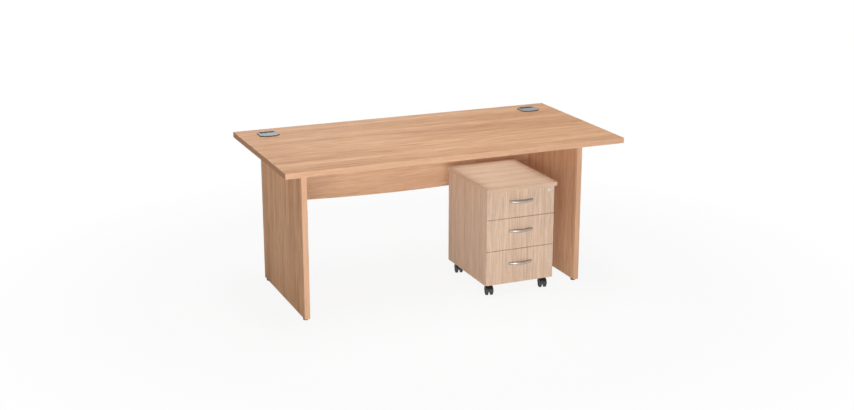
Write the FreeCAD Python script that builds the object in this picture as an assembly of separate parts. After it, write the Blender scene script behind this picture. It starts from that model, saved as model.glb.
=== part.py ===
"""Panel-end desk with a mobile three-drawer pedestal standing under its right half.

Millimetres. The origin is on the floor under the middle of the worktop, +X runs to the
sitter's right along the worktop, +Y away from the sitter and +Z up.
"""
import FreeCAD, Part
import math
import os

V = FreeCAD.Vector
X = V(1, 0, 0)
Y = V(0, 1, 0)
Z = V(0, 0, 1)

# Fits and cuts shared by all pieces
overrun = 2.0
pin_clearance = 0.05
groove_clearance = 0.2
running_gap = 0.3
same_place = 0.001

# Worktop
worktop_length = 1600.0
worktop_depth = 800.0
worktop_thickness = 25.0
desk_height = 725.0
edging_thickness = 2.0
edging_round = 1.2

# End panels
panel_thickness = 25.0
panel_front_setback = 165.0
panel_back_setback = 25.0
panel_side_setback = 120.0

# Notch in each end panel's top edge, under the cable port
notch_length = 84.0
notch_depth = 40.0
notch_round = 12.0

# Modesty panel, deepest in the middle
modesty_thickness = 18.0
modesty_back_inset = 102.0
modesty_middle_height = 308.0
modesty_end_height = 287.0

# Levelling feet
foot_height = 10.0
foot_radius = 12.0
foot_bevel = 1.2
foot_inset = 27.0
foot_stem_radius = 4.0
foot_stem_length = 25.0
foot_stem_room = 0.5
insert_radius = 6.0
insert_length = 20.0

# Cam fittings
cam_radius = 7.5
cam_below_bolt = 5.0
cam_from_edge = 34.0
cam_bolt_radius = 3.5
cam_bolt_tail = 3.0
cam_thread_radius = 2.5
cam_thread_length = 11.0
cam_cover_radius = 9.0
cam_cover_thickness = 1.2
cam_cover_bevel = 0.5
panel_cam_front_inset = 70.0
panel_cam_back_inset = 195.0
modesty_upper_cam_drop = 90.0
modesty_lower_cam_drop = 239.0

# Dowels
dowel_radius = 4.0
dowel_length = 30.0
dowel_in_mate = 12.0
panel_dowel_front_inset = 130.0
panel_dowel_back_inset = 255.0
modesty_dowel_drop = 165.0

# Cable ports
port_side_inset = 135.0
port_back_inset = 110.0
port_flange = 92.0
port_flange_height = 5.0
port_corner = 18.0
port_bevel = 0.8
sleeve_outside = 70.0
sleeve_depth = 23.0
port_throat = 60.0
port_recess = 72.0
flap_depth = 46.0
flap_thickness = 2.2
flap_pin_radius = 0.7
flap_pin_length = 1.5
flap_axis_inset = 2.4
flap_axis_drop = 1.5

# Pedestal cabinet
pedestal_panel_gap = 130.0
pedestal_front = -288.0
pedestal_width = 354.0
pedestal_depth = 440.0
pedestal_height = 520.0
pedestal_top_thickness = 20.0
pedestal_side_overhang = 7.0
pedestal_front_overhang = 12.0
carcass_thickness = 16.0
back_thickness = 8.0
pedestal_dowel_inset = 110.0

# Drawers
front_thickness = 16.0
front_gap = 2.0
front_stand_off = 1.5
front_rise = 4.0
front_side_reveal = 0.5
front_round = 1.0
upper_front_height = 128.0
middle_front_height = 148.0
box_back_room = 14.0
box_wall = 12.0
box_rise = 14.0
box_top_drop = 30.0
box_base_thickness = 4.0
box_base_rise = 8.0
box_groove_depth = 6.0

# Roller runners
runner_space = 12.5
runner_rise = 4.0
runner_sheet = 1.2
runner_reach = 10.8
runner_front_inset = 1.0
lip_front_inset = 40.0
flange_gap = 0.8
flange_inset = 2.0
roller_radius = 8.0
roller_width = 8.0
roller_side_gap = 0.6
roller_pin_radius = 2.5
roller_pin_head_radius = 3.5
roller_pin_head = 0.5
roller_end_inset = 14.0

# Bow handles
handle_length = 124.0
handle_reach = 27.0
handle_thickness = 8.0
handle_foot = 16.0
handle_height = 12.0
handle_round = 4.0
handle_drop_share = 0.41
handle_screw_radius = 2.0
handle_screw_depth = 5.0
handle_screw_head_radius = 3.8
handle_screw_head = 2.2

# Lock in the upper drawer front, and the bar that it lifts
lock_side_inset = 27.0
lock_top_inset = 16.0
rosette_radius = 8.0
rosette_height = 1.5
lock_case_radius = 7.0
lock_case_overhang = 6.0
barrel_radius = 5.0
keyway_width = 1.4
keyway_height = 6.0
keyway_depth = 3.0
tongue_length = 9.0
tongue_width = 8.0
tongue_thickness = 2.0
bar_groove_inset = 5.0
bar_groove_width = 14.0
bar_groove_depth = 4.0
bar_foot_height = 24.0
bar_pin_radius = 2.5
bar_pin_reach = 8.0
bar_pin_above_flange = 3.0
bar_arm_reach = 13.0
bar_arm_thickness = 3.0
bar_arm_above_lock = 6.6
catch_width = 5.0
catch_behind_pin = 1.0
catch_above_pin = 2.0
catch_height = 6.0
catch_reach = 9.0

# Castors, turned a little from straight ahead
castor_height = 53.0
castor_side_inset = 32.0
castor_front_inset = 58.0
castor_back_inset = 44.0
castor_trail = 12.0
castor_turn_degrees = -12.0
castor_plate_size = 34.0
castor_plate_thickness = 2.4
castor_stem_radius = 4.0
castor_stem_length = 9.0
castor_screw_radius = 2.0
castor_screw_length = 12.0
castor_screw_head_radius = 3.6
castor_screw_head = 1.8
castor_screw_inset = 5.0
wheel_radius = 20.0
wheel_width = 11.0
wheel_round = 3.0
wheel_dish_radius = 12.5
wheel_dish_depth = 2.0
wheel_gap = 0.6
axle_radius = 2.5
hood_web = 11.0
hood_web_radius = 7.0
hood_wall = 2.4
hood_wheel_gap = 0.8
hood_neck_radius = 9.0

# Planes of the desk
half_length = worktop_length / 2
half_depth = worktop_depth / 2
underside = desk_height - worktop_thickness
panel_front = -half_depth + panel_front_setback
panel_back = half_depth - panel_back_setback
panel_outer = half_length - panel_side_setback
panel_inner = panel_outer - panel_thickness
panel_middle = panel_inner + panel_thickness / 2
modesty_back = panel_back - modesty_back_inset
modesty_front = modesty_back - modesty_thickness
modesty_middle = modesty_front + modesty_thickness / 2
port_x = half_length - port_side_inset
port_y = half_depth - port_back_inset
port_top = desk_height + port_flange_height

# Planes of the pedestal, which stands beside the right end panel
pedestal_x = panel_inner - pedestal_panel_gap - pedestal_width / 2
carcass_left = pedestal_x - pedestal_width / 2 + pedestal_side_overhang
carcass_right = pedestal_x + pedestal_width / 2 - pedestal_side_overhang
inner_left = carcass_left + carcass_thickness
inner_right = carcass_right - carcass_thickness
front_face = pedestal_front + pedestal_front_overhang
front_back = front_face + front_thickness
carcass_front = front_back + front_stand_off
pedestal_back = pedestal_front + pedestal_depth
back_front = pedestal_back - back_thickness
base_bottom = castor_height
base_top = base_bottom + carcass_thickness
carcass_top = pedestal_height - pedestal_top_thickness
box_left = inner_left + runner_space
box_right = inner_right - runner_space
box_back = back_front - box_back_room
box_depth = box_back - front_back

# Bottom and top edges of the three drawer fronts, stacked down from the pedestal's top
upper_front_top = carcass_top - front_gap
upper_front_bottom = upper_front_top - upper_front_height
middle_front_top = upper_front_bottom - front_gap
middle_front_bottom = middle_front_top - middle_front_height
lower_front_top = middle_front_bottom - front_gap
lower_front_bottom = base_bottom + front_rise
drawer_levels = {
    "upper": (upper_front_bottom, upper_front_top),
    "middle": (middle_front_bottom, middle_front_top),
    "lower": (lower_front_bottom, lower_front_top),
}

# Heights in a runner, above the underside of its cabinet profile
channel_height = 2 * (runner_sheet + running_gap + roller_radius)
flange_bottom = channel_height + flange_gap
flange_top = flange_bottom + runner_sheet
front_roller_rise = flange_bottom - running_gap - roller_radius
rear_roller_rise = channel_height / 2
bar_pin_rise = flange_top + bar_pin_above_flange + bar_pin_radius
catch_bottom = bar_pin_rise + bar_pin_radius + catch_above_pin
catch_top = catch_bottom + catch_height
runner_front = carcass_front + runner_front_inset
runner_back = runner_front + box_depth
front_roller_y = runner_front + roller_end_inset
rear_roller_y = box_back - roller_end_inset

# Lock and its bar
lock_x = carcass_right - front_side_reveal - lock_side_inset
lock_z = upper_front_top - lock_top_inset
bar_front = carcass_front + bar_groove_inset
bar_back = bar_front + bar_groove_width
bar_pin_y = (bar_front + bar_back) / 2

# Castor heights
axle_z = wheel_radius
plate_bottom = base_bottom - castor_plate_thickness
hood_top = plate_bottom - running_gap
hood_inside = wheel_radius + hood_wheel_gap
hood_outside = hood_inside + hood_wall
wheel_inner = hood_web / 2 + wheel_gap
wheel_outer = wheel_inner + wheel_width

SIDES = {"left": -1, "right": 1}


def block(x, y, z):
    """A box between the low and high values of three spans."""
    return Part.makeBox(x[1] - x[0], y[1] - y[0], z[1] - z[0], V(x[0], y[0], z[0]))


def rod(radius, start, direction, length):
    """A round bar from a point along a direction."""
    return Part.makeCylinder(radius, length, start, direction)


def tube(radius, hole_radius, start, direction, length):
    """A round bar with a through hole."""
    return rod(radius, start, direction, length).cut(rod(hole_radius, start, direction, length))


def centred(middle, size):
    """The span of a size about its middle."""
    return (middle - size / 2, middle + size / 2)


def grown(span, margin):
    """A span made longer at both ends."""
    return (span[0] - margin, span[1] + margin)


def fused(first, *others):
    """One solid from overlapping or touching ones."""
    return first.fuse(list(others)).removeSplitter()


def edges_at(shape, direction, along=None):
    """Edges that lie furthest in a direction, all of them or those along one axis."""
    reach = max(vertex.Point.dot(direction) for vertex in shape.Vertexes)
    found = []
    for edge in shape.Edges:
        at_reach = all(abs(vertex.Point.dot(direction) - reach) < same_place for vertex in edge.Vertexes)
        lies_along = along is None or abs(edge.tangentAt(edge.FirstParameter).dot(along)) > 1 - same_place
        if at_reach and lies_along:
            found.append(edge)
    return found


def save(name, *shapes):
    """Writes one node, with each of its solids kept apart."""
    solids = [solid for shape in shapes for solid in shape.Solids]
    whole = solids[0] if len(solids) == 1 else Part.makeCompound(solids)
    whole.exportStep(f"parts/{name}.step")


def edged_board(x, y, z):
    """A board with a band on its four edges: the core, then the front, back, left and right bands."""
    core_x = grown(x, -edging_thickness)
    core_y = grown(y, -edging_thickness)
    front = block(x, (y[0], core_y[0]), z)
    back = block(x, (core_y[1], y[1]), z)
    left = block((x[0], core_x[0]), core_y, z)
    right = block((core_x[1], x[1]), core_y, z)
    front = front.makeFillet(edging_round, edges_at(front, -Y))
    back = back.makeFillet(edging_round, edges_at(back, Y))
    left = left.makeFillet(edging_round, edges_at(left, -X, Y))
    right = right.makeFillet(edging_round, edges_at(right, X, Y))
    return block(core_x, core_y, z), [front, back, left, right]


def cam_fitting(face_point, inward, towards, board_thickness):
    """A cam set in a board's face and the bolt that it draws in from the joined board.

    Returns the housing, bolt and cover, then the cuts in the board and in its mate.
    """
    depth = board_thickness / 2 + cam_below_bolt
    bolt_centre = face_point + inward * (board_thickness / 2)
    bolt_start = bolt_centre - towards * cam_bolt_tail
    joint = bolt_centre + towards * cam_from_edge
    passage_radius = cam_bolt_radius + pin_clearance
    passage_start = bolt_start - towards * pin_clearance
    passage = rod(passage_radius, passage_start, towards, cam_bolt_tail + cam_from_edge + overrun)
    housing = rod(cam_radius, face_point, inward, depth).cut(passage)
    shank = rod(cam_bolt_radius, bolt_start, towards, cam_bolt_tail + cam_from_edge)
    bolt = fused(shank, rod(cam_thread_radius, joint, towards, cam_thread_length))
    cover = rod(cam_cover_radius, face_point, -inward, cam_cover_thickness)
    cover = cover.makeChamfer(cam_cover_bevel, edges_at(cover, -inward))
    pocket_start = face_point - inward * overrun
    pocket = rod(cam_radius + pin_clearance, pocket_start, inward, overrun + depth + pin_clearance)
    socket_start = joint - towards * overrun
    socket_length = overrun + cam_thread_length + pin_clearance
    socket = rod(cam_thread_radius + pin_clearance, socket_start, towards, socket_length)
    return housing, bolt, cover, [pocket, passage], socket


def dowel_joint(joint, towards):
    """A dowel across a joint, its hole in the board that carries it and its hole in the mate."""
    start = joint - towards * (dowel_length - dowel_in_mate)
    hole_radius = dowel_radius + pin_clearance
    dowel = rod(dowel_radius, start, towards, dowel_length)
    hole = rod(hole_radius, start - towards * pin_clearance, towards, dowel_length + 2 * pin_clearance)
    return dowel, hole


def desk():
    """Worktop, end panels, modesty panel and the fittings that join them."""
    worktop, bands = edged_board(
        (-half_length, half_length), (-half_depth, half_depth), (underside, desk_height))
    modesty = modesty_blank()
    worktop_cuts = [port_hole(side) for side in SIDES.values()]
    modesty_cuts = []
    housings, bolts, covers, dowels, strips, inserts = [], [], [], [], [], []
    for name, side in SIDES.items():
        panel, panel_strips = end_panel(side)
        strips += panel_strips
        panel_cuts = [cable_notch(side)]
        for y in (panel_front + panel_cam_front_inset, panel_back - panel_cam_back_inset):
            place = V(side * panel_inner, y, underside - cam_from_edge)
            housing, bolt, cover, holes, socket = cam_fitting(place, X * side, Z, panel_thickness)
            housings.append(housing)
            bolts.append(bolt)
            covers.append(cover)
            panel_cuts += holes
            worktop_cuts.append(socket)
        for drop in (modesty_upper_cam_drop, modesty_lower_cam_drop):
            place = V(side * (panel_inner - cam_from_edge), modesty_front, underside - drop)
            housing, bolt, cover, holes, socket = cam_fitting(place, Y, X * side, modesty_thickness)
            housings.append(housing)
            bolts.append(bolt)
            covers.append(cover)
            modesty_cuts += holes
            panel_cuts.append(socket)
        for y in (panel_front + panel_dowel_front_inset, panel_back - panel_dowel_back_inset):
            dowel, hole = dowel_joint(V(side * panel_middle, y, underside), Z)
            dowels.append(dowel)
            panel_cuts.append(hole)
            worktop_cuts.append(hole)
        joint = V(side * panel_inner, modesty_middle, underside - modesty_dowel_drop)
        dowel, hole = dowel_joint(joint, X * side)
        dowels.append(dowel)
        panel_cuts.append(hole)
        modesty_cuts.append(hole)
        for place, y in (("front", panel_front + foot_inset), ("rear", panel_back - foot_inset)):
            foot, insert, holes = levelling_foot(V(side * panel_middle, y, 0))
            save(f"{place}_{name}_foot", foot)
            inserts.append(insert)
            panel_cuts += holes
        save(f"{name}_end_panel", panel.cut(panel_cuts))
    save("desktop", worktop.cut(worktop_cuts))
    save("desktop_edging", *bands)
    save("panel_edging", *strips)
    save("modesty_panel", modesty.cut(modesty_cuts))
    save("cam_housings", *housings)
    save("cam_bolts", *bolts)
    save("cam_covers", *covers)
    save("panel_dowels", *dowels)
    save("foot_inserts", *inserts)


def end_panel(side):
    """One end panel's board and the bands on its front and back edges."""
    x = centred(side * panel_middle, panel_thickness)
    z = (foot_height, underside)
    front = block(x, (panel_front, panel_front + edging_thickness), z)
    back = block(x, (panel_back - edging_thickness, panel_back), z)
    front = front.makeFillet(edging_round, edges_at(front, -Y, Z))
    back = back.makeFillet(edging_round, edges_at(back, Y, Z))
    board = block(x, (panel_front + edging_thickness, panel_back - edging_thickness), z)
    return board, [front, back]


def cable_notch(side):
    """The cut in an end panel's top edge that lets cables drop from the port above it."""
    x = grown(centred(side * panel_middle, panel_thickness), overrun)
    notch = block(x, centred(port_y, notch_length), (underside - notch_depth, underside + overrun))
    return notch.makeFillet(notch_round, edges_at(notch, -Z, X))


def modesty_blank():
    """The modesty panel's board between the end panels, its lower edge one shallow arc."""
    end_x = panel_inner
    end_z = underside - modesty_end_height
    low_left = V(-end_x, modesty_front, end_z)
    low_right = V(end_x, modesty_front, end_z)
    low_middle = V(0, modesty_front, underside - modesty_middle_height)
    top_left = V(-end_x, modesty_front, underside)
    top_right = V(end_x, modesty_front, underside)
    outline = Part.Wire([
        Part.Arc(low_left, low_middle, low_right).toShape(),
        Part.makeLine(low_right, top_right),
        Part.makeLine(top_right, top_left),
        Part.makeLine(top_left, low_left),
    ])
    return Part.Face(outline).extrude(Y * modesty_thickness)


def levelling_foot(floor_point):
    """A foot with its threaded stem, the insert that holds it and the holes in the panel."""
    panel_point = floor_point + Z * foot_height
    base_height = foot_height - running_gap
    bevel = Part.makeCone(foot_radius - foot_bevel, foot_radius, foot_bevel, floor_point)
    disc = rod(foot_radius, floor_point + Z * foot_bevel, Z, base_height - foot_bevel)
    stem_length = foot_height - foot_bevel + foot_stem_length
    stem = rod(foot_stem_radius, floor_point + Z * foot_bevel, Z, stem_length)
    foot = fused(bevel, disc, stem)
    insert = tube(insert_radius, foot_stem_radius + pin_clearance, panel_point, Z, insert_length)
    hole_start = panel_point - Z * overrun
    seat = rod(insert_radius + pin_clearance, hole_start, Z, overrun + insert_length)
    way = rod(foot_stem_radius + foot_stem_room, hole_start, Z, overrun + foot_stem_length + foot_stem_room)
    return foot, insert, [seat, way]


def port_hole(side):
    """The square hole in the worktop for a cable port's sleeve."""
    size = sleeve_outside + 2 * groove_clearance
    hole_z = grown((underside, desk_height), overrun)
    return block(centred(side * port_x, size), centred(port_y, size), hole_z)


def cable_port(name, side):
    """A cable port: flange and sleeve in one frame, and a hinged flap beside the cable slot."""
    x = side * port_x
    flange = block(centred(x, port_flange), centred(port_y, port_flange), (desk_height, port_top))
    upright = [edge for edge in flange.Edges if abs(edge.tangentAt(edge.FirstParameter).z) > 1 - same_place]
    flange = flange.makeChamfer(port_corner, upright)
    flange = flange.makeChamfer(port_bevel, edges_at(flange, Z))
    sleeve_z = (desk_height - sleeve_depth, desk_height)
    sleeve = block(centred(x, sleeve_outside), centred(port_y, sleeve_outside), sleeve_z)
    throat_z = grown((sleeve_z[0], port_top), overrun)
    throat = block(centred(x, port_throat), centred(port_y, port_throat), throat_z)
    recess_z = (port_top - flap_thickness - running_gap, port_top + overrun)
    recess = block(centred(x, port_recess), centred(port_y, port_recess), recess_z)
    swing_radius = math.hypot(flap_axis_inset, flap_axis_drop) + running_gap
    axis_y = port_y - port_recess / 2 + swing_radius
    axis_z = port_top - flap_axis_drop
    swing_z = (axis_z - swing_radius, port_top + overrun)
    swing_room = block(centred(x, port_recess), centred(axis_y, 2 * swing_radius), swing_z)
    flap_x = centred(x, port_recess - 2 * running_gap)
    flap_front = axis_y - flap_axis_inset
    plate = block(flap_x, (flap_front, flap_front + flap_depth), (port_top - flap_thickness, port_top))
    pin_start = V(flap_x[0] - flap_pin_length, axis_y, axis_z)
    pin_span = flap_x[1] - flap_x[0] + 2 * flap_pin_length
    flap = fused(plate, rod(flap_pin_radius, pin_start, X, pin_span))
    bore_start = pin_start - X * running_gap
    bore = rod(flap_pin_radius + pin_clearance, bore_start, X, pin_span + 2 * running_gap)
    save(f"{name}_cable_port", fused(flange, sleeve).cut([throat, recess, swing_room, bore]))
    save(f"{name}_port_flap", flap)


def cabinet():
    """The pedestal's fixed boards, with the dowels that join them."""
    top_x = centred(pedestal_x, pedestal_width)
    top_y = (pedestal_front, pedestal_back)
    top, bands = edged_board(top_x, top_y, (carcass_top, pedestal_height))
    carcass_y = (carcass_front, pedestal_back)
    base = block((inner_left, inner_right), (carcass_front, back_front), (base_bottom, base_top))
    boards = {
        "left": block((carcass_left, inner_left), carcass_y, (base_bottom, carcass_top)),
        "right": block((inner_right, carcass_right), carcass_y, (base_bottom, carcass_top)),
    }
    bar_groove = block(
        (inner_right - overrun, inner_right + bar_groove_depth), (bar_front, bar_back),
        (base_top + bar_foot_height, carcass_top + overrun))
    side_cuts = {"left": [], "right": [bar_groove]}
    side_middles = {
        "left": carcass_left + carcass_thickness / 2,
        "right": carcass_right - carcass_thickness / 2,
    }
    joints_x = {"left": inner_left, "right": inner_right}
    dowels, top_cuts, base_cuts = [], [], castor_screw_holes()
    for name, side in SIDES.items():
        for y in (carcass_front + pedestal_dowel_inset, pedestal_back - pedestal_dowel_inset):
            dowel, hole = dowel_joint(V(side_middles[name], y, carcass_top), Z)
            dowels.append(dowel)
            side_cuts[name].append(hole)
            top_cuts.append(hole)
            joint = V(joints_x[name], y, base_bottom + carcass_thickness / 2)
            dowel, hole = dowel_joint(joint, X * side)
            dowels.append(dowel)
            side_cuts[name].append(hole)
            base_cuts.append(hole)
    for name in SIDES:
        save(f"pedestal_{name}_side", boards[name].cut(side_cuts[name]))
    save("pedestal_top", top.cut(top_cuts))
    save("pedestal_edging", *bands)
    save("pedestal_base", base.cut(base_cuts))
    back = block((inner_left, inner_right), (back_front, pedestal_back), (base_bottom, carcass_top))
    save("pedestal_back", back)
    save("pedestal_dowels", *dowels)


def inward_x(side, distance):
    """X at a distance inside the carcass's inner face on one side."""
    return inner_left + distance if side < 0 else inner_right - distance


def inward_span(side, near, far):
    """The X span between two distances inside the carcass's inner face on one side."""
    return tuple(sorted((inward_x(side, near), inward_x(side, far))))


def roller_on_pin(side, near, y, z, pin_from, pin_to):
    """A runner's roller and the riveted pin that it turns on."""
    into = X * -side
    out_of_profile = into if pin_to > pin_from else -into
    roller_start = V(inward_x(side, near), y, z)
    roller = tube(roller_radius, roller_pin_radius + pin_clearance, roller_start, into, roller_width)
    pin_start = V(inward_x(side, pin_from), y, z)
    pin_length = abs(pin_to - pin_from)
    pin = rod(roller_pin_radius, pin_start, out_of_profile, pin_length)
    pin_end = pin_start + out_of_profile * pin_length
    head = rod(roller_pin_head_radius, pin_end, out_of_profile, roller_pin_head)
    return roller, fused(pin, head)


def cabinet_runner(side, foot):
    """The runner profile on the carcass, and its front roller."""
    y = (runner_front, runner_back)
    web = block(inward_span(side, 0, runner_sheet), y, (foot, foot + channel_height))
    reach = inward_span(side, 0, runner_reach)
    floor = block(reach, y, (foot, foot + runner_sheet))
    lip_z = (foot + channel_height - runner_sheet, foot + channel_height)
    lip = block(reach, (runner_front + lip_front_inset, runner_back), lip_z)
    near = runner_sheet + roller_side_gap
    pin_to = near + roller_width + running_gap
    roller, pin = roller_on_pin(side, near, front_roller_y, foot + front_roller_rise, 0, pin_to)
    return fused(web, floor, lip, pin), roller


def drawer_runner(side, foot):
    """The runner profile on a drawer's wall, and its rear roller. The right one has the lock's catch."""
    y = (front_back, box_back)
    wall = runner_space - runner_sheet
    web = block(inward_span(side, wall, runner_space), y, (foot, foot + flange_top))
    flange_z = (foot + flange_bottom, foot + flange_top)
    flange = block(inward_span(side, flange_inset, runner_space), y, flange_z)
    near = wall - roller_side_gap - roller_width
    pin_to = near - running_gap
    roller, pin = roller_on_pin(side, near, rear_roller_y, foot + rear_roller_rise, runner_space, pin_to)
    profile = fused(web, flange, pin)
    if side > 0:
        catch_front = bar_pin_y + bar_pin_radius + catch_behind_pin
        catch_y = (catch_front, catch_front + catch_width)
        post = block(inward_span(side, wall, runner_space), catch_y, (foot, foot + catch_top))
        lug_x = inward_span(side, runner_space - catch_reach, runner_space)
        lug = block(lug_x, catch_y, (foot + catch_bottom, foot + catch_top))
        profile = fused(profile, post, lug)
    return profile, roller


def bow_handle(z):
    """A bow handle with its two screws, and the screw holes in the drawer front."""
    ends = centred(pedestal_x, handle_length)
    feet = grown(ends, -handle_foot)
    low = z - handle_height / 2
    crown = front_face - handle_reach
    left, right = V(ends[0], front_face, low), V(ends[1], front_face, low)
    inner_left_foot, inner_right_foot = V(feet[0], front_face, low), V(feet[1], front_face, low)
    outline = Part.Wire([
        Part.Arc(left, V(pedestal_x, crown, low), right).toShape(),
        Part.makeLine(right, inner_right_foot),
        Part.Arc(inner_right_foot, V(pedestal_x, crown + handle_thickness, low), inner_left_foot).toShape(),
        Part.makeLine(inner_left_foot, left),
    ])
    bow = Part.Face(outline).extrude(Z * handle_height)
    outer_edges = [edge for edge in bow.Edges if edge.BoundBox.YMin < crown + same_place]
    crown_edges = [edge for edge in outer_edges if edge.BoundBox.ZLength < same_place]
    bow = bow.makeFillet(handle_round, crown_edges)
    screws, holes = [], []
    for x in grown(ends, -handle_foot / 2):
        seat = V(x, front_back, z)
        shank = rod(handle_screw_radius, seat, -Y, front_thickness + handle_screw_depth)
        head = rod(handle_screw_head_radius, seat, Y, handle_screw_head)
        screws.append(fused(shank, head))
        hole_length = front_thickness + handle_screw_depth + pin_clearance
        holes.append(rod(handle_screw_radius + pin_clearance, seat, -Y, hole_length))
    return bow.cut(holes), screws, holes


def lock(front_cuts):
    """The lock's case and its barrel with the tongue, and the case's hole in the drawer front."""
    face = V(lock_x, front_face, lock_z)
    rosette = rod(rosette_radius, face, -Y, rosette_height)
    case_length = front_thickness + lock_case_overhang
    bore_start = face - Y * (rosette_height + overrun)
    bore_length = rosette_height + case_length + 2 * overrun
    case = fused(rosette, rod(lock_case_radius, face, Y, case_length))
    save("lock_case", case.cut(rod(barrel_radius + pin_clearance, bore_start, Y, bore_length)))
    case_hole_length = front_thickness + 2 * overrun
    front_cuts.append(rod(lock_case_radius + pin_clearance, face - Y * overrun, Y, case_hole_length))
    tongue_front = front_back + lock_case_overhang + running_gap
    tongue_y = (tongue_front, tongue_front + tongue_thickness)
    tongue_z = centred(lock_z, tongue_width)
    tongue = block((lock_x, lock_x + tongue_length), tongue_y, tongue_z)
    barrel_start = face - Y * rosette_height
    barrel = rod(barrel_radius, barrel_start, Y, rosette_height + tongue_y[1] - front_face)
    keyway_y = (barrel_start.y - overrun, barrel_start.y + keyway_depth)
    keyway = block(centred(lock_x, keyway_width), keyway_y, centred(lock_z, keyway_height))
    save("lock_barrel", fused(barrel, tongue).cut(keyway))


def lock_bar(runner_feet):
    """The bar in the right side's groove: a pin for each drawer and the arm that the tongue lifts."""
    strip_x = (inner_right + groove_clearance, inner_right + bar_groove_depth - groove_clearance)
    strip_y = grown((bar_front, bar_back), -groove_clearance)
    arm_bottom = lock_z + bar_arm_above_lock
    arm_top = arm_bottom + bar_arm_thickness
    strip = block(strip_x, strip_y, (base_top + bar_foot_height + groove_clearance, arm_top))
    arm = block((inner_right - bar_arm_reach, strip_x[1]), strip_y, (arm_bottom, arm_top))
    pins = []
    for foot in runner_feet:
        start = V(strip_x[1], bar_pin_y, foot + bar_pin_rise)
        pins.append(rod(bar_pin_radius, start, -X, strip_x[1] - inner_right + bar_pin_reach))
    save("lock_bar", fused(strip, arm, *pins))


def drawers():
    """Three drawers on their runners, with the lock in the upper one."""
    carcass_runners, runner_feet = [], []
    for name, (bottom, top) in drawer_levels.items():
        box_z = (bottom + box_rise, top - box_top_drop)
        foot = box_z[0] + runner_rise
        runner_feet.append(foot)
        handle_z = top - handle_drop_share * (top - bottom)
        bow, screws, front_cuts = bow_handle(handle_z)
        save(f"{name}_handle", bow, *screws)
        if name == "upper":
            lock(front_cuts)
        walls_x = (box_left, box_right)
        inside_x = grown(walls_x, -box_wall)
        base_x = grown(inside_x, box_groove_depth - groove_clearance)
        inside_y = (front_back, box_back - box_wall)
        base_y = grown(inside_y, box_groove_depth - groove_clearance)
        base_z = (box_z[0] + box_base_rise, box_z[0] + box_base_rise + box_base_thickness)
        groove = block(*[grown(span, groove_clearance) for span in (base_x, base_y, base_z)])
        front_x = grown((carcass_left, carcass_right), -front_side_reveal)
        front = block(front_x, (front_face, front_back), (bottom, top))
        front = front.makeFillet(front_round, edges_at(front, -Y))
        save(f"{name}_drawer_front", front.cut([groove] + front_cuts))
        left = block((walls_x[0], inside_x[0]), (front_back, box_back), box_z)
        right = block((inside_x[1], walls_x[1]), (front_back, box_back), box_z)
        back = block(inside_x, (box_back - box_wall, box_back), box_z)
        save(f"{name}_drawer_walls", left.cut(groove), right.cut(groove), back.cut(groove))
        save(f"{name}_drawer_base", block(base_x, base_y, base_z))
        profiles, rear_rollers, front_rollers = [], [], []
        for side in SIDES.values():
            profile, roller = drawer_runner(side, foot)
            profiles.append(profile)
            rear_rollers.append(roller)
            profile, roller = cabinet_runner(side, foot)
            carcass_runners.append(profile)
            front_rollers.append(roller)
        save(f"{name}_drawer_runners", *profiles)
        save(f"{name}_rear_rollers", *rear_rollers)
        save(f"{name}_front_rollers", *front_rollers)
    save("cabinet_runners", *carcass_runners)
    lock_bar(runner_feet)


def castor_places():
    """Name and swivel axis of each castor, on the floor."""
    places = {}
    rows = {"front": pedestal_front + castor_front_inset, "rear": pedestal_back - castor_back_inset}
    for row, y in rows.items():
        places[f"{row}_left"] = V(carcass_left + castor_side_inset, y, 0)
        places[f"{row}_right"] = V(carcass_right - castor_side_inset, y, 0)
    return places


def castor_screw_points():
    """Points on the underside of the base where the castor plates are screwed on."""
    reach = castor_plate_size / 2 - castor_screw_inset
    points = []
    for place in castor_places().values():
        for corner in (X + Y, -X - Y):
            points.append(place + corner * reach + Z * base_bottom)
    return points


def castor_screw_holes():
    """Pilot holes for the castor screws in the base."""
    hole_radius = castor_screw_radius + pin_clearance
    return [
        rod(hole_radius, point - Z * overrun, Z, overrun + castor_screw_length + pin_clearance)
        for point in castor_screw_points()
    ]


def castor_plates():
    """The four fixed plates with their swivel stems, and the screws through them."""
    screws, plate_cuts = [], []
    for point in castor_screw_points():
        under_plate = V(point.x, point.y, plate_bottom)
        shank = rod(castor_screw_radius, under_plate, Z, castor_plate_thickness + castor_screw_length)
        head = rod(castor_screw_head_radius, under_plate, -Z, castor_screw_head)
        screws.append(fused(shank, head))
        hole_start = under_plate - Z * overrun
        hole_length = castor_plate_thickness + 2 * overrun
        plate_cuts.append(rod(castor_screw_radius + pin_clearance, hole_start, Z, hole_length))
    plates = []
    for place in castor_places().values():
        plate_x = centred(place.x, castor_plate_size)
        plate_y = centred(place.y, castor_plate_size)
        plate = block(plate_x, plate_y, (plate_bottom, base_bottom))
        stem = rod(castor_stem_radius, V(place.x, place.y, plate_bottom), -Z, castor_stem_length)
        plates.append(fused(plate, stem).cut(plate_cuts))
    save("castor_plates", *plates, *screws)


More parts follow.
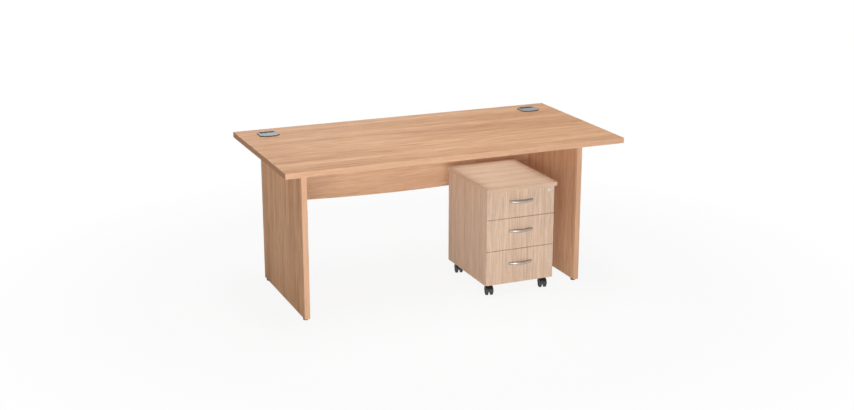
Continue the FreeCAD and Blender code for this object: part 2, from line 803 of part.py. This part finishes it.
def castor(name, place):
    """One castor: the swivelling hood and the wheel pair on its axle, turned about the swivel."""
    axle = V(place.x, place.y - castor_trail, axle_z)
    outer_left = axle - X * wheel_outer
    shell = tube(hood_outside, hood_inside, outer_left, X, 2 * wheel_outer)
    lower_half = block(
        grown((axle.x - wheel_outer, axle.x + wheel_outer), overrun),
        centred(axle.y, 2 * (hood_outside + overrun)), (axle_z - hood_outside - overrun, axle_z))
    neck = rod(hood_neck_radius, V(place.x, place.y, axle_z), Z, hood_top - axle_z)
    wheel_space = rod(hood_inside, outer_left - X * overrun, X, 2 * (wheel_outer + overrun))
    web = rod(hood_web_radius, axle - X * (hood_web / 2), X, hood_web)
    crown = rod(hood_inside + hood_wall / 2, axle - X * (hood_web / 2), X, hood_web).cut(lower_half)
    hood = fused(fused(shell.cut(lower_half), neck).cut(wheel_space), web, crown)
    stem_hole_length = castor_stem_length + running_gap
    stem_hole = rod(
        castor_stem_radius + pin_clearance, V(place.x, place.y, plate_bottom), -Z, stem_hole_length)
    axle_hole = rod(axle_radius + pin_clearance, outer_left, X, 2 * wheel_outer)
    hood = hood.cut([stem_hole, axle_hole])
    save(f"{name}_castor_hood", hood.rotated(place, Z, castor_turn_degrees))
    wheels = [rod(axle_radius, axle - X * wheel_outer, X, 2 * wheel_outer)]
    for side in SIDES.values():
        outward = X * side
        wheel = rod(wheel_radius, axle + outward * wheel_inner, outward, wheel_width)
        wheel = wheel.makeFillet(wheel_round, edges_at(wheel, outward))
        dish_start = axle + outward * (wheel_outer - wheel_dish_depth)
        wheels.append(wheel.cut(rod(wheel_dish_radius, dish_start, outward, wheel_dish_depth + overrun)))
    save(f"{name}_castor_wheels", fused(*wheels).rotated(place, Z, castor_turn_degrees))


os.makedirs("parts", exist_ok=True)
desk()
for port_name, port_side in SIDES.items():
    cable_port(port_name, port_side)
cabinet()
drawers()
castor_plates()
for castor_name, castor_place in castor_places().items():
    castor(castor_name, castor_place)
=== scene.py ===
"""Looks of the panel-end desk and the drawer pedestal that stands under its worktop."""
import math

import bpy
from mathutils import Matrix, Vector


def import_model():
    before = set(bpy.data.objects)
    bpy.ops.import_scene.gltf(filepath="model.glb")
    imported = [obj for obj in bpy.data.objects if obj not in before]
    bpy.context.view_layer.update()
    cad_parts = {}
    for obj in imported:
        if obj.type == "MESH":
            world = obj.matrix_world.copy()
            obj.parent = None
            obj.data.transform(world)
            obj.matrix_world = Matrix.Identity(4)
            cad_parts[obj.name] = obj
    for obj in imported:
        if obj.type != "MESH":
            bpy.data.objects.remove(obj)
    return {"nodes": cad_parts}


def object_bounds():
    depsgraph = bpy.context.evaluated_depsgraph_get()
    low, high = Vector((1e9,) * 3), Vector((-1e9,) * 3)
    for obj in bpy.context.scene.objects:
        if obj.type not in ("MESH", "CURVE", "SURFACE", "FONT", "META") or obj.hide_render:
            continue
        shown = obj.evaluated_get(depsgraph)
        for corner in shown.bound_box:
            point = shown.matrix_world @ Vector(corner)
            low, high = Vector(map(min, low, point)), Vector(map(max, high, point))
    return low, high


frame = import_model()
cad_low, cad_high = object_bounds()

# First words in the names of pieces that come in sets
corners = ("front_left", "front_right", "rear_left", "rear_right")
drawers = ("upper", "middle", "lower")
roller_rows = ("front", "rear")

# Camera: the photograph's viewpoint in metres and radians, as an image 854 pixels wide
image_width = 854
focal_pixels = 1365.2
sensor_width = 36.0
camera_place = (-2.3735, -5.5834, 2.1968)
camera_turn = 0.4020
camera_dip = 0.2894

# Floor and surroundings: reaches are in metres from the middle of the floor
floor_half = 14.0
floor_level = cad_low.z
floor_rough = 0.9
shadow_reach = 1.3
white_reach = 2.2
near_white_share = 0.9
ambient_strength = 0.15

# Lamps: place, point that it faces, width and height in metres, power in watts, colour
plain_light = (1.0, 1.0, 1.0)
lamps = {
    "overhead": ((0.0, -0.5, 4.4), (0.0, -0.1, 0.0), (1.8, 3.2), 109.0, plain_light),
    "front": ((-2.0, -4.9, 0.8), (0.0, 0.0, 0.45), (3.4, 1.5), 156.0, plain_light),
    "behind": ((0.3, 5.2, 1.4), (0.0, 0.0, 0.45), (4.0, 2.2), 50.0, plain_light),
    "left": ((-5.0, -0.8, 1.3), (0.0, 0.0, 0.45), (3.0, 2.0), 5.0, (1.0, 0.92, 0.88)),
    "under_worktop": ((-0.28, -0.1, 0.69), (-0.28, -0.1, 0.0), (0.6, 0.5), 0.45, (0.75, 0.97, 1.0)),
    "above_pedestal": ((0.345, -0.075, 0.55), (0.345, -0.075, 0.0), (0.34, 0.44), 0.32, (0.8, 0.97, 1.0)),
    "before_modesty": ((0.0, 0.17, 0.54), (0.0, 0.4, 0.54), (1.2, 0.22), 0.07, (0.85, 0.98, 1.0)),
    "beside_pedestal": ((0.56, -0.02, 0.17), (0.7, -0.02, 0.17), (0.5, 0.3), 0.05, (1.0, 0.98, 0.95)),
}

# Wood colours in sRGB: the light and the dark tone of each print, as they look in plain light, except the
# tones marked as painted light or painted shade
beech = ((245, 198, 156), (185, 131, 92))
# Painted light: a paler, less saturated copy of the beech for the right end panel, offsetting its shade and
# the warm light bounced off the wood under the worktop
right_beech_painted_light = ((243, 204, 168), (196, 148, 114))
# Painted light: a paler, less saturated copy of the beech for the modesty panel, offsetting its shade under
# the worktop and the warm bounced light
modesty_beech_painted_light = ((239, 200, 167), (194, 149, 116))
beech_edge = ((236, 193, 159), (214, 166, 132))
# Painted shade: a darker tone for the end faces of the desktop's band, left and right
beech_end_painted_shade = ((206, 155, 119), (178, 128, 95))
pale = ((246, 217, 193), (206, 174, 148))
pale_edge = ((234, 204, 178), (214, 181, 153))
dowel = ((214, 176, 132), (190, 148, 104))
fleck_brown = (150, 100, 70)

# Other colours, in sRGB
white = (255, 255, 255)
floor_paper = (236, 236, 236)
melamine = (214, 212, 207)
melamine_edge = (176, 160, 140)
zinc_plate = (190, 192, 195)
satin_silver = (180, 175, 169)
lock_nickel = (228, 224, 216)
cap_beige = (196, 150, 116)
port_silver = (146, 149, 150)
flap_silver = (154, 157, 158)
# Painted shade on the side faces of the cable ports and their flaps
port_side_painted_shade = (72, 66, 62)
runner_coat = (208, 207, 202)
roller_nylon = (228, 227, 221)
castor_shell = (44, 44, 47)
wheel_nylon = (38, 38, 40)
foot_black = (40, 40, 42)

# Layers drawn out along a grain: waves per metre along and across it, detail, roughness, twist
broad_layer = (0.8, 8.0, 3.0, 0.5, 0.3)
streak_layer = (2.0, 46.0, 4.0, 0.7, 0.2)
fine_layer = (9.0, 190.0, 2.0, 0.55, 0.0)
fibre_layer = (16.0, 520.0, 2.0, 0.6, 0.0)
fleck_layer = (150.0, 1400.0, 1.0, 0.4, 0.0)
brushed_layer = (40.0, 3200.0, 2.0, 0.6, 0.0)
melamine_layer = (5.0, 160.0, 2.0, 0.6, 0.0)

# How the layers of a wood print add up: their shares, and the spans of noise and of tone that are used
streak_share = 0.38
fine_share = 0.38
fibre_share = 0.24
noise_span = (0.3, 0.7)
layer_span = (0.26, 0.74)
fleck_span = (0.60, 0.72)
fleck_strength = 0.42
tone_below = 0.38
tone_above = 0.34
seed_steps = (1.0, 1.7, 2.3)

# Other spans of noise, and roughness from the smoothest to the roughest spot
flake_span = (0.7, 1.3)
spangle_span = (0.45, 0.6)
wood_rough = (0.52, 0.62)
lacquer_rough = (0.42, 0.52)
melamine_rough = (0.42, 0.52)

# Surfaces are told apart by the way they face: along the length for end faces, which turn a band's grain and
# on the desktop's band take painted shade, upwards for the ports' silver level faces, whose side faces take
# painted shade
end_facing = 0.5
level_facing = (0.45, 0.65)

# An edge shows where the rounded and the true surface part: cosines at its rim and at its middle
edge_cosines = (0.995, 0.85)
edge_samples = 4

# Sockets of a Mix node by the kind of value: two inputs and the output
mix_sockets = {"RGBA": (6, 7, 2), "VECTOR": (4, 5, 1)}


def linear(colour):
    """An sRGB colour of 0 to 255 as linear RGBA."""
    parts = []
    for value in colour:
        share = value / 255
        parts.append(share / 12.92 if share <= 0.04045 else ((share + 0.055) / 1.055) ** 2.4)
    return (*parts, 1.0)


def toned(colour, factor, lift=0.0):
    """A linear colour made darker or paler."""
    return (*[min(1.0, part * factor + lift) for part in colour[:3]], 1.0)


class Nodes:
    """The node tree of a material or a world, with short calls for the nodes that are used here."""

    def __init__(self, owner, shader, output):
        owner.use_nodes = True
        self.owner = owner
        self.tree = owner.node_tree
        self.tree.nodes.clear()
        self.shader = self.add(shader)
        self.surface = self.add(output).inputs["Surface"]
        self.join(self.shader.outputs[0], self.surface)

    def add(self, kind, **settings):
        node = self.tree.nodes.new(kind)
        for key, value in settings.items():
            setattr(node, key, value)
        return node

    def join(self, source, target):
        self.tree.links.new(source, target)

    def put(self, socket, value):
        """A socket's value, or a link to it."""
        if isinstance(value, bpy.types.NodeSocket):
            self.join(value, socket)
        else:
            socket.default_value = value

    def math(self, operation, first, second=0.0):
        node = self.add("ShaderNodeMath", operation=operation)
        self.put(node.inputs[0], first)
        self.put(node.inputs[1], second)
        return node.outputs[0]

    def part(self, value, share):
        """A share of a value."""
        return self.math("MULTIPLY", value, share)

    def spread(self, value, span, target=(0.0, 1.0)):
        """A value mapped from one span to another, held at the ends."""
        node = self.add("ShaderNodeMapRange", clamp=True)
        for socket, part in zip(node.inputs, (value, *span, *target)):
            self.put(socket, part)
        return node.outputs[0]

    def mix(self, share, first, second, kind="RGBA"):
        """Two colours or vectors mixed by a share."""
        node = self.add("ShaderNodeMix", data_type=kind)
        first_in, second_in, result = mix_sockets[kind]
        self.put(node.inputs[0], share)
        self.put(node.inputs[first_in], first)
        self.put(node.inputs[second_in], second)
        return node.outputs[result]

    def noise(self, place, scale, detail, rough=0.5, twist=0.0):
        node = self.add("ShaderNodeTexNoise")
        self.put(node.inputs["Vector"], place)
        self.put(node.inputs["Scale"], scale)
        self.put(node.inputs["Detail"], detail)
        self.put(node.inputs["Roughness"], rough)
        self.put(node.inputs["Distortion"], twist)
        return node.outputs["Fac"]

    def drawn_out(self, place, layer, fineness=1.0):
        """Noise that is long along the grain and short across it."""
        along, across, detail, rough, twist = layer
        stretched = self.add("ShaderNodeVectorMath", operation="MULTIPLY")
        self.put(stretched.inputs[0], place)
        self.put(stretched.inputs[1], (along, across * fineness, across * fineness))
        return self.noise(stretched.outputs[0], 1.0, detail, rough, twist)

    def place(self):
        """The point on the piece, in metres."""
        return self.add("ShaderNodeTexCoord").outputs["Object"]

    def facing(self):
        """The way that the piece's own surface faces, which turns with the piece."""
        return self.parts(self.add("ShaderNodeTexCoord").outputs["Normal"])

    def parts(self, vector):
        node = self.add("ShaderNodeSeparateXYZ")
        self.put(node.inputs[0], vector)
        return list(node.outputs)

    def vector(self, x, y, z):
        node = self.add("ShaderNodeCombineXYZ")
        for socket, value in zip(node.inputs, (x, y, z)):
            self.put(socket, value)
        return node.outputs[0]

    def edge(self, radius):
        """A share that rises towards the piece's edges, over about the given radius."""
        bevel = self.add("ShaderNodeBevel", samples=edge_samples)
        self.put(bevel.inputs["Radius"], radius)
        dot = self.add("ShaderNodeVectorMath", operation="DOT_PRODUCT")
        self.put(dot.inputs[0], bevel.outputs["Normal"])
        self.put(dot.inputs[1], self.add("ShaderNodeNewGeometry").outputs["Normal"])
        return self.spread(dot.outputs["Value"], edge_cosines)

    def bump(self, height, strength, distance):
        node = self.add("ShaderNodeBump")
        self.put(node.inputs["Height"], height)
        self.put(node.inputs["Strength"], strength)
        self.put(node.inputs["Distance"], distance)
        self.join(node.outputs["Normal"], self.shader.inputs["Normal"])

    def finish(self, **sockets):
        """Sets the shader's sockets by name, with spaces written as underscores."""
        for name, value in sockets.items():
            self.put(self.shader.inputs[name.replace("_", " ")], value)
        return self.owner


def surface_nodes(name):
    """The nodes of a new material."""
    return Nodes(bpy.data.materials.new(name), "ShaderNodeBsdfPrincipled", "ShaderNodeOutputMaterial")


def faces_end(nodes):
    """One on faces that look left or right, zero on the others."""
    return nodes.math("GREATER_THAN", nodes.math("ABSOLUTE", nodes.facing()[0]), end_facing)


def grain_place(nodes, along):
    """The point on the piece with its first part along the grain: x, y or z, or edges for a band's length."""
    x, y, z = nodes.parts(nodes.place())
    if along == "x":
        return nodes.vector(x, y, z)
    if along == "y":
        return nodes.vector(y, x, z)
    if along == "z":
        return nodes.vector(z, x, y)
    return nodes.mix(faces_end(nodes), nodes.vector(x, y, z), nodes.vector(y, x, z), "VECTOR")


def wood(name, along, tones, figure=0.34, streak=1.0, seed=0.0, fineness=1.0, painted_shade_ends=None, gloss=0.14):
    """Beech decor: broad tone changes, streaks, fine fibres and short brown flecks along the grain."""
    nodes = surface_nodes(name)
    shifted = nodes.add("ShaderNodeVectorMath", operation="ADD")
    nodes.put(shifted.inputs[0], grain_place(nodes, along))
    nodes.put(shifted.inputs[1], tuple(step * seed for step in seed_steps))
    place = shifted.outputs[0]
    broad = nodes.drawn_out(place, broad_layer, fineness)
    streaks = nodes.drawn_out(place, streak_layer, fineness)
    fine = nodes.drawn_out(place, fine_layer)
    fibres = nodes.drawn_out(place, fibre_layer)
    tone = nodes.part(nodes.spread(broad, noise_span), figure)
    middle = figure / 2
    layers = ((streaks, streak_share * streak), (fine, fine_share * streak), (fibres, fibre_share))
    for layer, share in layers:
        tone = nodes.math("ADD", tone, nodes.part(nodes.spread(layer, layer_span), share))
        middle += share / 2
    tone = nodes.spread(tone, (middle - tone_below, middle + tone_above))
    light, dark = [linear(colour) for colour in tones]
    colour = nodes.mix(tone, light, dark)
    # Painted shade: faces that look left or right take the darker tones
    if painted_shade_ends:
        end_shade_light, end_shade_dark = [linear(colour) for colour in painted_shade_ends]
        colour = nodes.mix(faces_end(nodes), colour, nodes.mix(tone, end_shade_light, end_shade_dark))
    flecks = nodes.spread(nodes.drawn_out(place, fleck_layer), fleck_span, (0.0, fleck_strength))
    colour = nodes.mix(flecks, colour, linear(fleck_brown))
    edge = nodes.edge(radius=0.0012)
    colour = nodes.mix(nodes.part(edge, share=0.16), colour, light)
    skin = nodes.noise(nodes.place(), scale=2600.0, detail=1.0)
    relief = nodes.math("ADD", nodes.part(fibres, share=0.7), nodes.part(skin, share=0.3))
    nodes.bump(relief, strength=0.22, distance=0.00025)
    rough = nodes.spread(streaks, noise_span, wood_rough)
    rough = nodes.math("ADD", rough, nodes.part(edge, share=0.06))
    return nodes.finish(Base_Color=colour, Roughness=rough, Specular_IOR_Level=gloss)


def plastic(name, colour, grain=900.0, rough=0.45, mottle=0.06, depth=0.0002, worn=0.12):
    """A moulded plastic with a fine spark texture, faint mottling and paler rubbed edges."""
    nodes = surface_nodes(name)
    place = nodes.place()
    cloud = nodes.noise(place, scale=28.0, detail=3.0, rough=0.6)
    pores = nodes.noise(place, scale=grain, detail=2.0, rough=0.6)
    base = linear(colour)
    tint = nodes.mix(nodes.spread(cloud, noise_span), base, toned(base, 1 - 2 * mottle))
    rubbed = nodes.part(nodes.edge(radius=0.0008), worn)
    tint = nodes.mix(rubbed, tint, toned(base, factor=1.25, lift=0.02))
    nodes.bump(pores, strength=0.25, distance=depth)
    smoother, rougher = 0.06, 0.08
    roughness = nodes.spread(pores, noise_span, (rough - smoother, rough + rougher))
    return nodes.finish(Base_Color=tint, Roughness=roughness)


def port_finish(name, colour):
    """Silver lacquer on the level faces, with painted shade: a dark colour on the side faces."""
    nodes = surface_nodes(name)
    place = nodes.place()
    flakes = nodes.noise(place, scale=2400.0, detail=2.0, rough=0.6)
    cloud = nodes.noise(place, scale=40.0, detail=2.0)
    base = linear(colour)
    shade = nodes.spread(nodes.math("ADD", flakes, cloud), flake_span)
    silver = nodes.mix(shade, base, toned(base, factor=0.86))
    # Painted shade: faces that stand upright take the dark colour, level faces the silver
    level_faces = nodes.spread(nodes.math("ABSOLUTE", nodes.facing()[2]), level_facing)
    tint = nodes.mix(level_faces, linear(port_side_painted_shade), silver)
    nodes.bump(flakes, strength=0.2, distance=0.0001)
    rough = nodes.spread(flakes, noise_span, lacquer_rough)
    return nodes.finish(Base_Color=tint, Roughness=rough, Specular_IOR_Level=0.3)


def metal(name, colour, along, rough, scratch, spangle=0.0):
    """A metal brushed along one axis, with fine scratches, spangles and edges rubbed bright."""
    nodes = surface_nodes(name)
    hair = nodes.drawn_out(grain_place(nodes, along), brushed_layer)
    cloud = nodes.noise(nodes.place(), scale=140.0, detail=2.0, rough=0.55)
    hair_strength = 0.6
    base = linear(colour)
    dark = toned(base, factor=0.82)
    tint = nodes.mix(nodes.spread(hair, noise_span, (0.0, hair_strength)), base, dark)
    tint = nodes.mix(nodes.spread(cloud, spangle_span, (0.0, spangle)), tint, dark)
    rubbed = nodes.part(nodes.edge(radius=0.0006), share=0.5)
    tint = nodes.mix(rubbed, tint, toned(base, factor=1.12))
    nodes.bump(hair, strength=0.12, distance=0.0001)
    roughness = nodes.spread(hair, noise_span, (rough - scratch / 2, rough + scratch))
    return nodes.finish(Base_Color=tint, Metallic=1.0, Roughness=roughness)


def board(name, colour):
    """Pale melamine on a drawer box, with a faint print and fine pores."""
    nodes = surface_nodes(name)
    print_lines = nodes.drawn_out(grain_place(nodes, "y"), melamine_layer)
    pores = nodes.noise(nodes.place(), scale=1800.0, detail=1.0)
    base = linear(colour)
    tint = nodes.mix(nodes.spread(print_lines, noise_span), base, toned(base, factor=0.9))
    tint = nodes.mix(nodes.part(nodes.edge(radius=0.0008), share=0.25), tint, linear(melamine_edge))
    nodes.bump(pores, strength=0.15, distance=0.0001)
    return nodes.finish(Base_Color=tint, Roughness=nodes.spread(pores, noise_span, melamine_rough))


def dress(material, *names):
    """Puts one material on CAD nodes."""
    for name in names:
        mesh = frame["nodes"][name].data
        mesh.materials.clear()
        mesh.materials.append(material)


def dress_desk():
    """The finishes of the desk's boards, bands, ports and feet."""
    dress(wood("beech_along", "x", beech, seed=18.2), "desktop")
    modesty = wood("beech_modesty", "x", modesty_beech_painted_light, figure=0.12, streak=0.8, seed=3.1, fineness=1.4)
    dress(modesty, "modesty_panel")
    left = wood("beech_left", "z", beech, streak=1.2, seed=5.3, fineness=1.9, gloss=0.06)
    dress(left, "left_end_panel")
    right = wood("beech_right", "z", right_beech_painted_light, figure=0.2, seed=7.9, fineness=2.1, gloss=0.06)
    dress(right, "right_end_panel")
    # The band's end faces take painted shade
    band = wood("beech_band", "edges", beech_edge, seed=1.3, painted_shade_ends=beech_end_painted_shade, gloss=0.08)
    dress(band, "desktop_edging")
    dress(wood("beech_band_upright", "z", beech_edge, seed=2.2), "panel_edging")
    dress(plastic("cap_beige", cap_beige), "cam_covers")
    dress(port_finish("port_silver", port_silver), "left_cable_port", "right_cable_port")
    dress(port_finish("flap_silver", flap_silver), "left_port_flap", "right_port_flap")
    feet = plastic("foot_black", foot_black, grain=800.0, rough=0.5, mottle=0.1)
    dress(feet, *[f"{corner}_foot" for corner in corners])


def dress_pedestal():
    """The finishes of the pedestal's carcass, lock and castors."""
    dress(wood("pale_top", "x", pale, seed=4.4), "pedestal_top")
    dress(wood("pale_band", "edges", pale_edge, seed=6.1), "pedestal_edging")
    upright = wood("pale_upright", "z", pale, figure=0.2, streak=1.2, seed=8.7, fineness=2.3)
    dress(upright, "pedestal_left_side", "pedestal_right_side", "pedestal_back", "pedestal_base")
    dress(upright, *[f"{drawer}_drawer_front" for drawer in drawers])
    dress(metal("lock_nickel", lock_nickel, "z", rough=0.3, scratch=0.08), "lock_case", "lock_barrel")
    shell = plastic("castor_shell", castor_shell, grain=1000.0, rough=0.42, mottle=0.1)
    dress(shell, *[f"{corner}_castor_hood" for corner in corners])
    wheels = plastic("wheel_nylon", wheel_nylon, grain=700.0, rough=0.5, mottle=0.12)
    dress(wheels, *[f"{corner}_castor_wheels" for corner in corners])


def dress_drawers():
    """The finishes of the drawer boxes, handles, runners and rollers."""
    box = board("drawer_melamine", melamine)
    dress(box, *[f"{drawer}_drawer_{piece}" for drawer in drawers for piece in ("walls", "base")])
    handles = metal("satin_silver", satin_silver, "x", rough=0.24, scratch=0.08)
    dress(handles, *[f"{drawer}_handle" for drawer in drawers])
    coat = plastic("runner_coat", runner_coat, grain=420.0, rough=0.34, mottle=0.03, depth=0.0001, worn=0.25)
    dress(coat, "cabinet_runners", *[f"{drawer}_drawer_runners" for drawer in drawers])
    nylon = plastic("roller_nylon", roller_nylon, grain=1100.0, rough=0.4, mottle=0.04)
    dress(nylon, *[f"{drawer}_{row}_rollers" for drawer in drawers for row in roller_rows])


def dress_fittings():
    """The finishes of the dowels and the plated steel."""
    dress(wood("dowel_wood", "x", dowel), "panel_dowels", "pedestal_dowels")
    zinc = metal("zinc_plate", zinc_plate, "z", rough=0.38, scratch=0.12, spangle=0.5)
    dress(zinc, "cam_bolts", "cam_housings", "foot_inserts", "castor_plates", "lock_bar")


def background_seen(nodes):
    """One for rays from the camera, from gloss and through clear pieces, which see the background."""
    path = nodes.add("ShaderNodeLightPath")
    seen = nodes.math("MAXIMUM", path.outputs["Is Camera Ray"], path.outputs["Is Glossy Ray"])
    return nodes.math("MAXIMUM", seen, path.outputs["Is Transmission Ray"])


def floor_finish():
    """A pale floor with a soft shadow round the object, which fades to plain white further out."""
    nodes = surface_nodes("floor_paper")
    reach = nodes.add("ShaderNodeVectorMath", operation="LENGTH")
    nodes.put(reach.inputs[0], nodes.place())
    white_share = nodes.spread(reach.outputs["Value"], (shadow_reach, white_reach), (near_white_share, 1.0))
    both = nodes.add("ShaderNodeMixShader")
    nodes.put(both.inputs[0], nodes.math("MULTIPLY", background_seen(nodes), white_share))
    nodes.join(nodes.shader.outputs["BSDF"], both.inputs[1])
    nodes.join(nodes.add("ShaderNodeEmission").outputs["Emission"], both.inputs[2])
    nodes.join(both.outputs["Shader"], nodes.surface)
    return nodes.finish(Base_Color=linear(floor_paper), Roughness=floor_rough, Specular_IOR_Level=0.0)


def floor():
    """A wide pale floor at the level that the object stands on."""
    mesh = bpy.data.meshes.new("floor")
    outline = ((-1, -1), (1, -1), (1, 1), (-1, 1))
    mesh.from_pydata([(x * floor_half, y * floor_half, floor_level) for x, y in outline], [], [(0, 1, 2, 3)])
    mesh.materials.append(floor_finish())
    plane = bpy.data.objects.new("floor", mesh)
    bpy.context.scene.collection.objects.link(plane)


def world():
    """Dim even light from around, and plain white where the background is seen."""
    studio = bpy.data.worlds.new("studio")
    nodes = Nodes(studio, "ShaderNodeBackground", "ShaderNodeOutputWorld")
    strength = nodes.spread(background_seen(nodes), (0.0, 1.0), (ambient_strength, 1.0))
    nodes.finish(Color=linear(white), Strength=strength)
    bpy.context.scene.world = studio


def lights():
    """Soft boxes round the object, and weak ones that lift the knee space to the photograph's level."""
    for name, (place, aim, (width, height), power, colour) in lamps.items():
        lamp = bpy.data.lights.new(name, "AREA")
        lamp.shape = "RECTANGLE"
        lamp.size = width
        lamp.size_y = height
        lamp.energy = power
        lamp.color = colour
        holder = bpy.data.objects.new(name, lamp)
        holder.location = place
        holder.rotation_euler = (Vector(aim) - Vector(place)).to_track_quat("-Z", "Y").to_euler()
        holder.visible_camera = False
        bpy.context.scene.collection.objects.link(holder)


def camera():
    """The photograph's viewpoint."""
    lens = bpy.data.cameras.new("camera")
    lens.sensor_width = sensor_width
    lens.sensor_fit = "HORIZONTAL"
    lens.lens = focal_pixels * sensor_width / image_width
    viewpoint = bpy.data.objects.new("camera", lens)
    viewpoint.location = camera_place
    viewpoint.rotation_euler = (math.pi / 2 - camera_dip, 0.0, -camera_turn)
    bpy.context.scene.collection.objects.link(viewpoint)
    bpy.context.scene.camera = viewpoint


dress_desk()
dress_pedestal()
dress_drawers()
dress_fittings()
floor()
world()
lights()
camera()
bpy.context.scene.view_settings.view_transform = "Standard"
